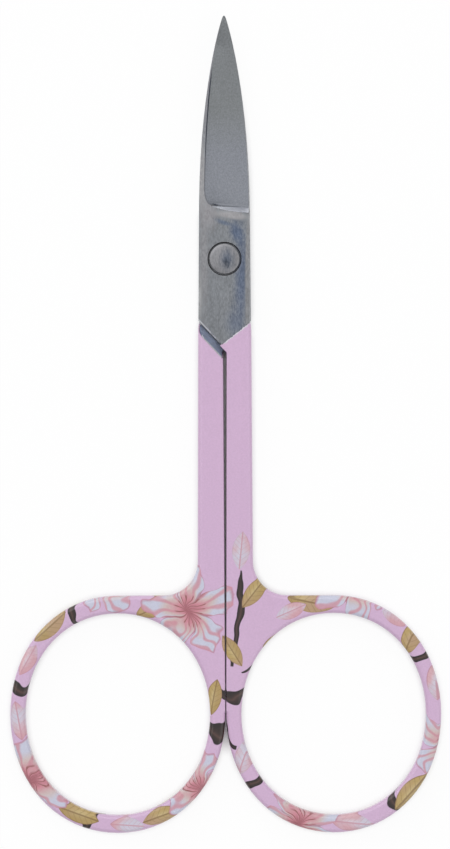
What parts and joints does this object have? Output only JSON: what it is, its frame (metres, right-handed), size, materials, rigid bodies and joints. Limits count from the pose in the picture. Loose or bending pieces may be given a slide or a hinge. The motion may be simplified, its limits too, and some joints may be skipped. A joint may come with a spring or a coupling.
{
  "type": "nail scissors",
  "caption": "Small straight nail scissors: two crossed steel halves on a flush rivet, pointed blades, oval finger bows and printed lacquer handles.",
  "frame": {"origin": "on the pivot axis, on the flat outer face of the rear half, where the rivet's tail is flush", "axes": "+Z is the pivot axis and points out of the front half's outer face, +Y points to the blade tips, +X to the front half's finger bow"},
  "size_m": [0.0496, 0.0939, 0.0034],
  "materials": {
    "blade_steel": "satin-ground stainless steel",
    "rivet_steel": "faced stainless steel",
    "printed_lacquer": "pale mauve lacquer with a flower print, semi-gloss"
  },
  "bodies": {
    "rear": {"rear_half": "blade_steel", "rear_handle_coat": "printed_lacquer", "pivot_rivet": "rivet_steel"},
    "front": {"front_half": "blade_steel", "front_handle_coat": "printed_lacquer"}
  },
  "joints": [
    {"name": "pivot", "type": "hinge", "parent": "rear", "child": "front", "pos_m": [0, 0, 0.0016], "axis": [0, 0, 1], "range_deg": [0, 130]}
  ]
}
